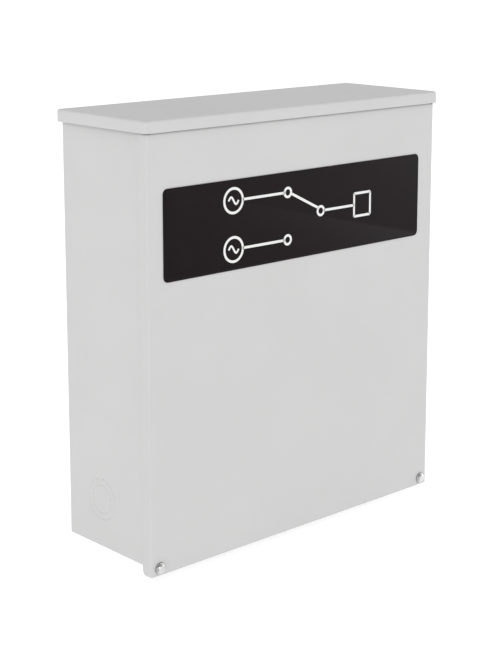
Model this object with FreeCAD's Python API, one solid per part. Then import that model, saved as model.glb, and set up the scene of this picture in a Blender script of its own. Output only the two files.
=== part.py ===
import FreeCAD, Part
import math
import os

from FreeCAD import Vector

# Wall-mounted double-throw transfer switch in a rainproof sheet steel case.
# Millimetres. The wall face of the case is the plane Y = 0 and the cover faces -Y. Z is up.
# The origin is the centre of the wall face, which is also the centre of the four wall holes.

# ---- driving dimensions of the case
CASE_WIDTH = 457.2
CASE_HEIGHT = 508.0
CASE_DEPTH = 152.4
SHEET = 1.5
COVER_HANG = 10.0        # how far the cover hangs below the bottom of the case
TOP_FLANGE = 12.0        # sheet turned in under the cap, at the back and at the sides
TOP_FLANGE_FRONT = -135.0
FLOOR_LIP_HALF = 200.0
FLOOR_LIP_HEIGHT = 14.0
SLIP_GAP = 0.5           # between the cover and the case that it slips over
WALL_HOLE_SPACING_X = 381.0
WALL_HOLE_SPACING_Z = 406.4
WALL_HOLE_RADIUS = 4.0

# ---- cap
CAP_LIP = 14.0
CAP_SIDE_OVERHANG = 4.0
CAP_FRONT_OVERHANG = 3.5
CAP_CORNER_RADIUS = 6.0
CAP_EDGE_RADIUS = 3.0

# ---- cover
FLANGE_DEPTH = 15.0
FLANGE_FOOT_RADIUS = 5.0
RETURN_WIDTH = 14.0      # the front edges of the case sides, turned in behind the cover
RETURN_TOP_GAP = 6.0     # below the cover's pivot
TAB_WIDTH = 20.0         # the tabs that take the cover screws
TAB_RISE = 24.0
TAB_RELIEF = 9.0
TONGUE_HEIGHT = 10.0
SCREW_INSET = 12.2
SCREW_HEIGHT = 8.5
SCREW_SHANK_RADIUS = 2.4
SCREW_HOLE_RADIUS = 2.7
SCREW_LENGTH = 12.0
WASHER_RADIUS = 6.3
WASHER_THICKNESS = 1.2
HEAD_FLATS = 9.5
HEAD_HEIGHT = 3.4
HEAD_CHAMFER = 1.4
NUT_RADIUS = 4.6
NUT_HEIGHT = 4.5
PLATE_LEFT = -207.0
PLATE_RIGHT = 201.0
PLATE_LOW = 71.5
PLATE_HIGH = 173.5
PLATE_THICKNESS = 0.8
PLATE_CORNER = 5.5
LABEL_HALF_WIDTH = 95.0
LABEL_LOW = -170.0
LABEL_HIGH = -30.0
LABEL_THICKNESS = 0.3

# ---- knockouts
SIDE_KNOCKOUT_Y = -61.5
SIDE_KNOCKOUT_Z = -192.5
SIDE_KNOCKOUT_RADII = (25.0, 17.5)
BOTTOM_KNOCKOUT_XS = (-120.0, 0.0, 120.0)
BOTTOM_KNOCKOUT_RADII = (31.8, 25.0, 17.5)
SMALL_KNOCKOUT_XS = (-62.0, 62.0)
SMALL_KNOCKOUT_RADIUS = 11.1
BOTTOM_KNOCKOUT_Y = -75.0
GROOVE_WIDTH = 1.8
GROOVE_FLAT = 0.2        # at the bottom of a groove, between its sloping sides
GROOVE_DEPTH = 0.35
GROOVE_TAB = 5.0

# ---- switch mechanism
SHAFT_Y = -62.0
SHAFT_Z = 10.0
SHAFT_RADIUS = 6.0
HALF_THROW = 30.0        # the rotor turns this far each side of straight out
POLE_XS = (-50.0, 10.0)
POLE_HALF = 12.0
BLADE_HALF = 7.0
BLADE_REACH = 50.0
CARRIER_RADIUS = 13.0
RING_RADIUS = 19.0
CRANK_RADIUS = 20.0
PLUNGER_RADIUS = 7.2
COIL_BORE = 7.6
COIL_X = 77.5
COIL_RADIUS = 16.5
CAM_RADIUS = 12.0
CAM_OFFSET = 2.0
PAN_FRONT = -16.0        # front face of the mounting pans
PAN_BACK = -14.0
BASE_FRONT = -30.0
BLOCK_FRONT = -46.0
LUG_BORE = 7.5
LUG_SCREW_RADIUS = 5.5

# ---- screw slots
SLOT_SHARE = 0.4         # of the height of the head
SLOT_HALF = 0.5

# ---- worked out from the above
HALF_WIDTH = CASE_WIDTH / 2
TOP = (CASE_HEIGHT - COVER_HANG) / 2
CASE_BOTTOM = -TOP
COVER_BOTTOM = CASE_BOTTOM - COVER_HANG
COVER_FRONT = -CASE_DEPTH
COVER_BACK = COVER_FRONT + SHEET
BOX_HALF = HALF_WIDTH - SHEET - SLIP_GAP
BOX_INNER = BOX_HALF - SHEET
BOX_FRONT = COVER_BACK + SLIP_GAP
WALL_TOP = TOP - SHEET
LIP_BOTTOM = TOP - CAP_LIP
HINGE_Y = COVER_FRONT + SHEET / 2
HINGE_Z = LIP_BOTTOM - 1.5
SCREW_X = HALF_WIDTH - SCREW_INSET
SCREW_Z = COVER_BOTTOM + SCREW_HEIGHT
SHAFT_AXIS = Vector(0, SHAFT_Y, SHAFT_Z)
X_AXIS = Vector(1, 0, 0)
Y_AXIS = Vector(0, 1, 0)
Z_AXIS = Vector(0, 0, 1)


# ---- helpers
def box(x0, x1, y0, y1, z0, z1):
    low = Vector(min(x0, x1), min(y0, y1), min(z0, z1))
    return Part.makeBox(abs(x1 - x0), abs(y1 - y0), abs(z1 - z0), low)


def rod(radius, start, end):
    run = Vector(*end) - Vector(*start)
    return Part.makeCylinder(radius, run.Length, Vector(*start), run)


def rod_x(radius, x0, x1, y, z):
    return rod(radius, (x0, y, z), (x1, y, z))


def rod_y(radius, y0, y1, x, z):
    return rod(radius, (x, y0, z), (x, y1, z))


def rod_z(radius, z0, z1, x, y):
    return rod(radius, (x, y, z0), (x, y, z1))


def join(shapes):
    return shapes[0].multiFuse(shapes[1:]).removeSplitter()


def cut(shape, tools):
    return shape.cut(Part.makeCompound(tools))


def slab_yz(outline, x0, x1):
    points = [Vector(x0, y, z) for y, z in outline]
    face = Part.Face(Part.makePolygon(points + points[:1]))
    return face.extrude(Vector(x1 - x0, 0, 0))


def hexagon_y(across_flats, y0, y1, x, z):
    radius = across_flats / math.sqrt(3)
    corners = []
    for i in range(6):
        angle = math.radians(60 * i + 30)
        corners.append(Vector(x + radius * math.cos(angle), y0, z + radius * math.sin(angle)))
    face = Part.Face(Part.makePolygon(corners + corners[:1]))
    return face.extrude(Vector(0, y1 - y0, 0))


def fillet_edges(shape, radius, wanted):
    return shape.makeFillet(radius, [edge for edge in shape.Edges if wanted(edge)])


def runs_along(edge, axis):
    ends = [vertex.Point for vertex in edge.Vertexes]
    if len(ends) < 2:
        return False
    run = ends[1] - ends[0]
    return run.Length > 1 and run.cross(axis).Length < 1e-6


def slotted_screw(x, z, seat, head, shank):
    """A screw driven from the front. Head and shank are each a radius and a length from the seat."""
    head_radius, head_height = head
    shank_radius, shank_length = shank
    front = seat - head_height
    solid = join([rod_y(head_radius, front, seat, x, z), rod_y(shank_radius, seat, seat + shank_length, x, z)])
    slot = box(x - head_radius, x + head_radius, front, front + SLOT_SHARE * head_height,
               z - SLOT_HALF, z + SLOT_HALF)
    return solid.cut(slot)


def mirror_x(shape):
    return shape.mirror(Vector(0, 0, 0), X_AXIS)


def mirror_about_shaft(shape):
    return shape.mirror(SHAFT_AXIS, Z_AXIS)


def turned_to_rest(shape):
    """From straight out to the rest position, thrown up to the utility contacts."""
    turned = shape.copy()
    turned.rotate(SHAFT_AXIS, X_AXIS, -HALF_THROW)
    return turned


def save(name, *solids):
    shape = solids[0] if len(solids) == 1 else Part.makeCompound(list(solids))
    if not shape.isValid() or shape.Volume <= 0:
        raise ValueError(name + " is not a valid solid")
    shape.exportStep("parts/" + name + ".step")


def knockout_rings(radii, centre, inward):
    """Painted-over shear lines in a sheet: shallow grooves between uncut tabs, a quarter turn on each ring."""
    grooves = []
    slope = (GROOVE_WIDTH - GROOVE_FLAT) / 2
    for i, radius in enumerate(radii):
        inner_radius = radius - GROOVE_WIDTH
        outer = Part.makeCone(radius, radius - slope, GROOVE_DEPTH, centre, inward)
        inner = Part.makeCone(inner_radius, inner_radius + slope, GROOVE_DEPTH, centre, inward)
        along = Z_AXIS if abs(inward.z) < 0.5 else X_AXIS
        across = inward.cross(along)
        tab_run = along if i % 2 == 0 else across
        tab_side = across if i % 2 == 0 else along
        corner = centre - tab_run * (radius + 1) - tab_side * (GROOVE_TAB / 2)
        size = tab_run * (2 * radius + 2) + tab_side * GROOVE_TAB + inward * GROOVE_DEPTH
        far = corner + size
        tab = box(corner.x, far.x, corner.y, far.y, corner.z, far.z)
        grooves.append(outer.cut(inner).cut(tab))
    return grooves


# ---- case
def enclosure_body():
    back = box(-BOX_HALF, BOX_HALF, -SHEET, 0, CASE_BOTTOM, WALL_TOP)
    side = box(BOX_INNER, BOX_HALF, BOX_FRONT, 0, CASE_BOTTOM, WALL_TOP)
    flange_low = WALL_TOP - SHEET
    side_flange = box(BOX_INNER - TOP_FLANGE, BOX_INNER, TOP_FLANGE_FRONT, -SHEET, flange_low, WALL_TOP)
    back_flange = box(-BOX_INNER, BOX_INNER, -SHEET - TOP_FLANGE, -SHEET, flange_low, WALL_TOP)
    right = [side, side_flange]
    body = join([back, back_flange] + right + [mirror_x(piece) for piece in right])

    def back_corner(edge):
        point = edge.CenterOfMass
        return runs_along(edge, Z_AXIS) and abs(abs(point.x) - BOX_HALF) < 0.01 and abs(point.y) < 0.01

    body = fillet_edges(body, SHEET, back_corner)
    holes = []
    for x in (-WALL_HOLE_SPACING_X / 2, WALL_HOLE_SPACING_X / 2):
        for z in (-WALL_HOLE_SPACING_Z / 2, WALL_HOLE_SPACING_Z / 2):
            holes.append(rod_y(WALL_HOLE_RADIUS, -SHEET - 1, 1, x, z))
    for side_sign in (-1, 1):
        centre = Vector(side_sign * BOX_HALF, SIDE_KNOCKOUT_Y, SIDE_KNOCKOUT_Z)
        holes += knockout_rings(SIDE_KNOCKOUT_RADII, centre, Vector(-side_sign, 0, 0))
    save("enclosure_body", cut(body, holes))


def front_returns():
    """The turned-in front edges of the sides, each with a tab that takes a cover screw."""
    back = BOX_FRONT + SHEET
    strip = box(BOX_INNER - RETURN_WIDTH, BOX_INNER, BOX_FRONT, back, CASE_BOTTOM, HINGE_Z - RETURN_TOP_GAP)
    tab = box(BOX_INNER - TAB_WIDTH, BOX_INNER, BOX_FRONT, back, COVER_BOTTOM + 1, CASE_BOTTOM + TAB_RISE)
    hole = rod_y(SCREW_HOLE_RADIUS, BOX_FRONT - 1, back + 1, SCREW_X, SCREW_Z)
    right = join([strip, tab]).cut(hole)
    save("front_returns", right, mirror_x(right))


def bottom_plate():
    lip_front = BOX_FRONT + SHEET
    floor = box(-BOX_INNER, BOX_INNER, lip_front, -SHEET, CASE_BOTTOM, CASE_BOTTOM + SHEET)
    lip = box(-FLOOR_LIP_HALF, FLOOR_LIP_HALF, lip_front, lip_front + SHEET,
              CASE_BOTTOM, CASE_BOTTOM + FLOOR_LIP_HEIGHT)
    tools = []
    for side_sign in (-1, 1):
        inner = side_sign * (BOX_INNER - TAB_WIDTH - SLIP_GAP)
        tools.append(box(inner, side_sign * BOX_HALF, lip_front, lip_front + TAB_RELIEF,
                         CASE_BOTTOM, CASE_BOTTOM + 2 * SHEET))
    for x in BOTTOM_KNOCKOUT_XS:
        tools += knockout_rings(BOTTOM_KNOCKOUT_RADII, Vector(x, BOTTOM_KNOCKOUT_Y, CASE_BOTTOM), Z_AXIS)
    for x in SMALL_KNOCKOUT_XS:
        tools += knockout_rings((SMALL_KNOCKOUT_RADIUS,), Vector(x, BOTTOM_KNOCKOUT_Y, CASE_BOTTOM), Z_AXIS)
    save("bottom_plate", cut(join([floor, lip]), tools))


def drip_cap():
    half = HALF_WIDTH + CAP_SIDE_OVERHANG
    front = COVER_FRONT - CAP_FRONT_OVERHANG
    outer = box(-half, half, front, 0, LIP_BOTTOM, TOP)

    def front_corner(edge):
        return runs_along(edge, Z_AXIS) and abs(edge.CenterOfMass.y - front) < 0.01

    outer = fillet_edges(outer, CAP_CORNER_RADIUS, front_corner)

    def top_edge(edge):
        low = edge.BoundBox
        return low.ZMin > TOP - 0.01 and low.YMin < -0.01

    outer = fillet_edges(outer, CAP_EDGE_RADIUS, top_edge)
    inner = box(-half + SHEET, half - SHEET, front + SHEET, 1, LIP_BOTTOM - 1, TOP - SHEET)

    def inner_corner(edge):
        return runs_along(edge, Z_AXIS) and abs(edge.CenterOfMass.y - front - SHEET) < 0.01

    inner = fillet_edges(inner, CAP_CORNER_RADIUS - SHEET, inner_corner)

    def inner_top(edge):
        reach = edge.BoundBox
        return reach.ZMin > TOP - SHEET - 0.01 and reach.YMin < 0.9

    inner = fillet_edges(inner, CAP_EDGE_RADIUS - SHEET, inner_top)
    save("drip_cap", outer.cut(inner))


def front_cover():
    shoulder = LIP_BOTTOM - 1
    back = COVER_FRONT + FLANGE_DEPTH
    block = box(-HALF_WIDTH, HALF_WIDTH, COVER_FRONT, back, COVER_BOTTOM, shoulder)

    def bend(edge):
        return runs_along(edge, Z_AXIS) and abs(edge.CenterOfMass.y - COVER_FRONT) < 0.01

    block = fillet_edges(block, 2 * SHEET, bend)
    hollow = box(-HALF_WIDTH + SHEET, HALF_WIDTH - SHEET, COVER_BACK, back + 1, COVER_BOTTOM - 1, shoulder + 1)

    def inner_bend(edge):
        return runs_along(edge, Z_AXIS) and abs(edge.CenterOfMass.y - COVER_BACK) < 0.01

    hollow = fillet_edges(hollow, SHEET, inner_bend)
    shell = block.cut(hollow)

    def flange_foot(edge):
        point = edge.CenterOfMass
        low_back = abs(point.y - back) < 0.01 and abs(point.z - COVER_BOTTOM) < 0.01
        return runs_along(edge, X_AXIS) and low_back

    shell = fillet_edges(shell, FLANGE_FOOT_RADIUS, flange_foot)
    tongue = box(-BOX_INNER + 3, BOX_INNER - 3, COVER_FRONT, COVER_BACK, shoulder - 1, LIP_BOTTOM + TONGUE_HEIGHT)
    holes = [rod_y(SCREW_HOLE_RADIUS, COVER_FRONT - 1, COVER_BACK + 1, x, SCREW_Z) for x in (-SCREW_X, SCREW_X)]
    save("front_cover", cut(join([shell, tongue]), holes))


def cover_fasteners():
    screws = []
    nuts = []
    washer_front = COVER_FRONT - WASHER_THICKNESS
    head_front = washer_front - HEAD_HEIGHT
    crown_back = head_front + HEAD_CHAMFER
    nut_front = BOX_FRONT + SHEET
    for x in (-SCREW_X, SCREW_X):
        washer = rod_y(WASHER_RADIUS, washer_front, COVER_FRONT, x, SCREW_Z)
        head = hexagon_y(HEAD_FLATS, head_front, washer_front, x, SCREW_Z)
        crown = Part.makeCone(WASHER_RADIUS - 0.7, WASHER_RADIUS - 0.7 - HEAD_CHAMFER, HEAD_CHAMFER,
                              Vector(x, crown_back, SCREW_Z), Vector(0, -1, 0))
        neck = rod_y(WASHER_RADIUS, crown_back, washer_front, x, SCREW_Z)
        head = head.common(join([crown, neck]))
        shank = rod_y(SCREW_SHANK_RADIUS, COVER_FRONT, COVER_FRONT + SCREW_LENGTH, x, SCREW_Z)
        screws.append(join([washer, head, shank]))
        nut = rod_y(NUT_RADIUS, nut_front, nut_front + NUT_HEIGHT, x, SCREW_Z)
        bore = rod_y(SCREW_HOLE_RADIUS, nut_front - 1, nut_front + NUT_HEIGHT + 1, x, SCREW_Z)
        nuts.append(nut.cut(bore))
    save("cover_screws", *screws)
    save("cover_nuts", *nuts)


def cover_plates():
    plate = box(PLATE_LEFT, PLATE_RIGHT, COVER_FRONT - PLATE_THICKNESS, COVER_FRONT, PLATE_LOW, PLATE_HIGH)
    plate = fillet_edges(plate, PLATE_CORNER, lambda edge: edge.Length < 1)
    save("nameplate", plate)
    save("wiring_label", box(-LABEL_HALF_WIDTH, LABEL_HALF_WIDTH, COVER_BACK, COVER_BACK + LABEL_THICKNESS,
                             LABEL_LOW, LABEL_HIGH))


# ---- pans, standoffs and their screws
MAIN_PAN = (-150.0, 150.0, -150.0, 170.0)
CONTROL_PAN = (157.0, 221.0, -168.0, 62.0)
PAN_HOLE_INSET = 8.0
PAN_CORNER = 5.0
PAN_HOLE_RADIUS = 3.1
STANDOFF_RADIUS = 6.0
STANDOFF_BLIND = 2.5
PAN_SCREW_HEAD = (5.5, 3.5)
PAN_SCREW_SHANK = (2.9, 10.0)


def pan_holes(pan):
    left, right, low, high = pan
    places = []
    for x in (left + PAN_HOLE_INSET, right - PAN_HOLE_INSET):
        for z in (low + PAN_HOLE_INSET, high - PAN_HOLE_INSET):
            places.append((x, z))
    return places


def mounting_pans():
    for name, pan in (("mechanism_plate", MAIN_PAN), ("control_plate", CONTROL_PAN)):
        left, right, low, high = pan
        plate = box(left, right, PAN_FRONT, PAN_BACK, low, high)
        plate = fillet_edges(plate, PAN_CORNER, lambda edge: runs_along(edge, Y_AXIS))
        holes = [rod_y(PAN_HOLE_RADIUS, PAN_FRONT - 1, PAN_BACK + 1, x, z) for x, z in pan_holes(pan)]
        save(name, cut(plate, holes))
    standoffs = []
    screws = []
    for x, z in pan_holes(MAIN_PAN) + pan_holes(CONTROL_PAN):
        post = rod_y(STANDOFF_RADIUS, PAN_BACK, -SHEET, x, z)
        standoffs.append(post.cut(rod_y(PAN_HOLE_RADIUS, PAN_BACK, -SHEET - STANDOFF_BLIND, x, z)))
        screws.append(slotted_screw(x, z, PAN_FRONT, PAN_SCREW_HEAD, PAN_SCREW_SHANK))
    save("plate_standoffs", *standoffs)
    save("plate_screws", *screws)


# ---- fixed parts of the switch
BASE_LEFT = -90.0
BASE_RIGHT = 50.0
BASE_HIGH = 120.0
BLOCK_LOW = 52.0
BARRIER = 4.0            # thickness of the walls between the poles
BARRIER_FRONT = -112.0
BARRIER_LOW = 48.0
BARRIER_SLOPE = 20.0


def switch_base():
    centre = (POLE_XS[0] + POLE_XS[1]) / 2
    low = 2 * SHAFT_Z - BASE_HIGH
    pieces = [box(BASE_LEFT, BASE_RIGHT, BASE_FRONT, PAN_FRONT, low, BASE_HIGH)]
    upper = [box(BASE_LEFT, BASE_RIGHT, BLOCK_FRONT, BASE_FRONT, BLOCK_LOW, BASE_HIGH)]
    for x in (BASE_LEFT, centre - BARRIER / 2, BASE_RIGHT - BARRIER):
        outline = ((BASE_FRONT, BARRIER_LOW), (BASE_FRONT, BASE_HIGH), (BARRIER_FRONT + BARRIER_SLOPE, BASE_HIGH),
                   (BARRIER_FRONT, BASE_HIGH - BARRIER_SLOPE), (BARRIER_FRONT, BARRIER_LOW))
        upper.append(slab_yz(outline, x, x + BARRIER))
    pieces += upper + [mirror_about_shaft(piece) for piece in upper]
    save("switch_base", join(pieces))


LEFT_FRAME = (-97.0, -94.0)      # outer and inner face
RIGHT_FRAME = (57.0, 54.0)
LEFT_FRAME_REACH = 40.0          # above and below the shaft
RIGHT_FRAME_REACH = 94.0
LEFT_FRAME_FRONT = -84.0
RIGHT_FRAME_FRONT = -104.0
FOOT_THICKNESS = 2.5
BUSH_RADIUS = 9.0
BUSH_FLANGE = (12.0, 1.5)        # radius and thickness
BUSH_PROUD = 1.5
SHAFT_CLEARANCE = 0.05
PIN_RADIUS = 3.0
PIN_END = 94.0
SPRING_X = 90.0
PIN_GROOVE = (2.2, 2.0)          # core radius and half width


def spring_groove(y):
    """A groove round a pin, in which an end of the toggle spring hooks."""
    core, half = PIN_GROOVE
    ring = rod_x(PIN_RADIUS + 1, SPRING_X - half, SPRING_X + half, y, SHAFT_Z)
    return ring.cut(rod_x(core, SPRING_X - half, SPRING_X + half, y, SHAFT_Z))


def side_frames():
    outer, inner = LEFT_FRAME
    low, high = SHAFT_Z - LEFT_FRAME_REACH, SHAFT_Z + LEFT_FRAME_REACH
    left = box(outer, inner, LEFT_FRAME_FRONT, PAN_FRONT, low, high)
    left_foot = box(outer - 15, outer, PAN_FRONT - FOOT_THICKNESS, PAN_FRONT, low, high)
    left_hole = rod_x(BUSH_RADIUS, outer - 1, inner + 1, SHAFT_Y, SHAFT_Z)
    save("left_side_frame", join([left, left_foot]).cut(left_hole))
    outer, inner = RIGHT_FRAME
    low, high = SHAFT_Z - RIGHT_FRAME_REACH, SHAFT_Z + RIGHT_FRAME_REACH
    right = box(outer, inner, RIGHT_FRAME_FRONT, PAN_FRONT, low, high)
    right_foot = box(outer, outer + 14, PAN_FRONT - FOOT_THICKNESS, PAN_FRONT, low, high)
    post = rod_x(PIN_RADIUS, outer, PIN_END, SHAFT_Y + CRANK_RADIUS, SHAFT_Z)
    tools = [rod_x(BUSH_RADIUS, inner - 1, outer + 1, SHAFT_Y, SHAFT_Z), spring_groove(SHAFT_Y + CRANK_RADIUS)]
    for window_low in (-20, 20):
        tools.append(box(inner - 1, outer + 1, BASE_FRONT - 7, BASE_FRONT + 2, window_low, window_low + 20))
    save("right_side_frame", cut(join([right, right_foot, post]), tools))
    bushings = []
    for outer, inner in (LEFT_FRAME, RIGHT_FRAME):
        outward = math.copysign(1, outer - inner)
        flange_radius, flange_thickness = BUSH_FLANGE
        flange = rod_x(flange_radius, inner - outward * flange_thickness, inner, SHAFT_Y, SHAFT_Z)
        sleeve = rod_x(BUSH_RADIUS, inner, outer + outward * BUSH_PROUD, SHAFT_Y, SHAFT_Z)
        bore = rod_x(SHAFT_RADIUS + SHAFT_CLEARANCE, inner - 10, inner + 10, SHAFT_Y, SHAFT_Z)
        bushings.append(join([flange, sleeve]).cut(bore))
    save("shaft_bushings", *bushings)


def contact_point(reach, height):
    """Y and Z at a distance along the blade at rest, and a height square to it."""
    angle = math.radians(HALF_THROW)
    y = SHAFT_Y - reach * math.cos(angle) + height * math.sin(angle)
    z = SHAFT_Z + reach * math.sin(angle) + height * math.cos(angle)
    return y, z


CONTACT_BAR = 4.0        # thickness
CONTACT_ZS = (44.0, 118.0)
CONTACT_FRONT = -104.0
CONTACT_FOOT = -88.0
FIXED_TIP_REACHES = (38.0, 50.0)
FIXED_TIP_HEIGHTS = (5.3, 6.8)


def fixed_contacts():
    low, high = CONTACT_ZS
    shelf = low + CONTACT_BAR
    near, far = FIXED_TIP_REACHES
    face, seat = FIXED_TIP_HEIGHTS
    outline = [(BLOCK_FRONT, low), (BLOCK_FRONT, high), (BLOCK_FRONT - CONTACT_BAR, high),
               (BLOCK_FRONT - CONTACT_BAR, shelf), (CONTACT_FRONT, shelf), (CONTACT_FRONT, low),
               contact_point(far, seat), contact_point(near, seat), (CONTACT_FOOT, low)]
    tip_outline = [contact_point(near, face), contact_point(far, face), contact_point(far, seat),
                   contact_point(near, seat)]
    bars = [slab_yz(outline, x - POLE_HALF, x + POLE_HALF) for x in POLE_XS]
    tips = [slab_yz(tip_outline, x - BLADE_HALF, x + BLADE_HALF) for x in POLE_XS]
    save("utility_contacts", *bars)
    save("generator_contacts", *[mirror_about_shaft(bar) for bar in bars])
    save("fixed_tips", *(tips + [mirror_about_shaft(tip) for tip in tips]))


SADDLE_RADIUS = 24.0     # the saddle that rubs on the ring of each blade
SADDLE_GAP = 0.3
SADDLE_FOOT = 8.0        # behind the shaft
LOAD_BAR_HEIGHT = 16.0
LOAD_END = 150.0
LOAD_BLOCK_LEFT = 106.0
LOAD_BLOCK_ZS = (-30.0, 50.0)
LOAD_STEMS = ((0.0, 38.0, 22.0), (-18.0, 20.0, -18.0))       # low, high and the low edge of the bar


def load_conductors():
    bars = []
    bar_front = BASE_FRONT - CONTACT_BAR
    for x, (stem_low, stem_high, bar_low) in zip(POLE_XS, LOAD_STEMS):
        left, right = x - BLADE_HALF, x + BLADE_HALF
        ring = rod_x(SADDLE_RADIUS, left, right, SHAFT_Y, SHAFT_Z)
        ring = ring.cut(rod_x(RING_RADIUS + SADDLE_GAP, left - 1, right + 1, SHAFT_Y, SHAFT_Z))
        ring = ring.common(box(left, right, SHAFT_Y + SADDLE_FOOT, SHAFT_Y + SADDLE_RADIUS,
                               SHAFT_Z - SADDLE_RADIUS, SHAFT_Z + SADDLE_RADIUS))
        stem = box(left, right, bar_front - 8, bar_front, stem_low, stem_high)
        bar = box(left, LOAD_END, bar_front, BASE_FRONT, bar_low, bar_low + LOAD_BAR_HEIGHT)
        bars.append(join([ring, stem, bar]))
    save("load_bars", *bars)
    save("load_block", box(LOAD_BLOCK_LEFT, LOAD_END, BASE_FRONT, PAN_FRONT, *LOAD_BLOCK_ZS))


CHEEK = 1.5              # thickness
CHEEK_YS = (-134.0, -92.0)
CHEEK_ZS = (16.0, 62.0)
CHUTE_PLATES = 6
CHUTE_PLATE = 1.2        # thickness
CHUTE_PLATE_YS = (-132.0, -115.0)
CHUTE_PLATE_PITCH = 5.5
CHUTE_NOTCH = (3.0, 7.0)         # half width and depth


def arc_chutes():
    solids = []
    plate_front, plate_back = CHUTE_PLATE_YS
    notch_half, notch_depth = CHUTE_NOTCH
    for x in POLE_XS:
        for side_sign in (-1, 1):
            inner = x + side_sign * POLE_HALF
            solids.append(box(inner, inner + side_sign * CHEEK, *CHEEK_YS, *CHEEK_ZS))
        for i in range(CHUTE_PLATES):
            low = CHEEK_ZS[0] + 2 + CHUTE_PLATE_PITCH * i
            plate = box(x - POLE_HALF, x + POLE_HALF, plate_front, plate_back, low, low + CHUTE_PLATE)
            notch = box(x - notch_half, x + notch_half, plate_back - notch_depth, plate_back, low, low + CHUTE_PLATE)
            solids.append(plate.cut(notch))
    save("utility_arc_chutes", *solids)
    save("generator_arc_chutes", *[mirror_about_shaft(solid) for solid in solids])


# ---- lugs: each has a cable bore and a socket set screw from the front
LUG_DEPTH = 24.0
LUG_HALF_WIDTH = 13.0
LUG_HALF_LENGTH = 17.0
LUG_CORNER = 2.5
LUG_SCREW_PROUD = 6.0
LUG_SCREW_GAP = 0.3      # between the foot of the set screw and the bore
LUG_SOCKET_FLATS = 5.5


def lug(x, z, back, along):
    front = back - LUG_DEPTH
    middle = back - LUG_DEPTH / 2
    reach = LUG_HALF_LENGTH + 1
    if along == "z":
        block = box(x - LUG_HALF_WIDTH, x + LUG_HALF_WIDTH, front, back, z - LUG_HALF_LENGTH, z + LUG_HALF_LENGTH)
        bore = rod_z(LUG_BORE, z - reach, z + reach, x, middle)
    else:
        block = box(x - LUG_HALF_LENGTH, x + LUG_HALF_LENGTH, front, back, z - LUG_HALF_WIDTH, z + LUG_HALF_WIDTH)
        bore = rod_x(LUG_BORE, x - reach, x + reach, middle, z)
    axis = Z_AXIS if along == "z" else X_AXIS
    block = fillet_edges(block, LUG_CORNER, lambda edge: runs_along(edge, axis))
    screw_hole = rod_y(LUG_SCREW_RADIUS + 0.1, front - 1, middle, x, z)
    screw_front = front - LUG_SCREW_PROUD
    screw = rod_y(LUG_SCREW_RADIUS, screw_front, middle - LUG_BORE - LUG_SCREW_GAP, x, z)
    socket = hexagon_y(LUG_SOCKET_FLATS, screw_front - 1, front - 1, x, z)
    return block.cut(bore).cut(screw_hole), screw.cut(socket)


def lugs():
    screws = []
    groups = {"utility_lugs": [], "generator_lugs": [], "load_lugs": [], "neutral_lugs": []}
    for x in POLE_XS:
        block, screw = lug(x, 98, BLOCK_FRONT - 4, "z")
        groups["utility_lugs"].append(block)
        groups["generator_lugs"].append(mirror_about_shaft(block))
        screws += [screw, mirror_about_shaft(screw)]
    for z in (30, -10):
        block, screw = lug(131, z, BASE_FRONT - 4, "x")
        groups["load_lugs"].append(block)
        screws.append(screw)
    for z in (94, 132, 170):
        block, screw = lug(189, z, -30, "x")
        groups["neutral_lugs"].append(block)
        screws.append(screw)
    for name, solids in groups.items():
        save(name, *solids)
    save("lug_screws", *screws)


GROUND_POLES = 9
GROUND_PITCH = 14.0
GROUND_LEFT = 50.0
GROUND_Z = -218.0
GROUND_FRONT = -26.0
GROUND_HALF = 6.0
GROUND_SCREW_HEAD = (3.6, 2.5)
GROUND_SCREW_SHANK = (2.3, 8.5)


def neutral_and_ground():
    save("neutral_base", box(165, 213, -24, -SHEET, 74, 190))
    save("neutral_bar", box(174, 204, -30, -24, 78, 186))
    low = GROUND_Z - GROUND_HALF
    high = GROUND_Z + GROUND_HALF
    back = GROUND_FRONT + 2 * GROUND_HALF
    right = GROUND_LEFT + GROUND_POLES * GROUND_PITCH + 4
    bar = box(GROUND_LEFT, right, GROUND_FRONT, back, low, high)
    feet = [box(x, x + 10, back, -SHEET, low, high) for x in (GROUND_LEFT + 6, right - 16)]
    tools = []
    screws = []
    for i in range(GROUND_POLES):
        x = GROUND_LEFT + 9 + GROUND_PITCH * i
        tools.append(rod_z(2.7, low - 1, high + 1, x, GROUND_FRONT + 7))
        tools.append(rod_y(2.4, GROUND_FRONT - 1, GROUND_FRONT + 7, x, GROUND_Z))
        screws.append(slotted_screw(x, GROUND_Z, GROUND_FRONT - 4.5, GROUND_SCREW_HEAD, GROUND_SCREW_SHANK))
    save("ground_bar", cut(join([bar] + feet), tools))
    return screws


# ---- moving parts of the switch
CRANK_XS = (61.0, 67.0)
CRANK_HUB_RADIUS = 12.0
CRANK_EYE_RADIUS = 7.0
CAM_XS = (-108.0, -101.0)
HUB_XS = (-136.0, -114.0)
HUB_RADIUS = 14.0
HUB_BOSS_RADIUS = 11.0
HUB_BOSS_REACH = 36.0    # from the shaft
HUB_SOCKET_RADIUS = 6.6
HUB_SOCKET_FOOT = 13.0   # from the shaft
BLADE_THICKNESS = 6.0
TIP_THICKNESS = 2.0
TIP_LENGTH = 11.0
SHAFT_XS = (-138.0, 68.0)
CARRIER_XS = (-88.0, 48.0)


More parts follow.
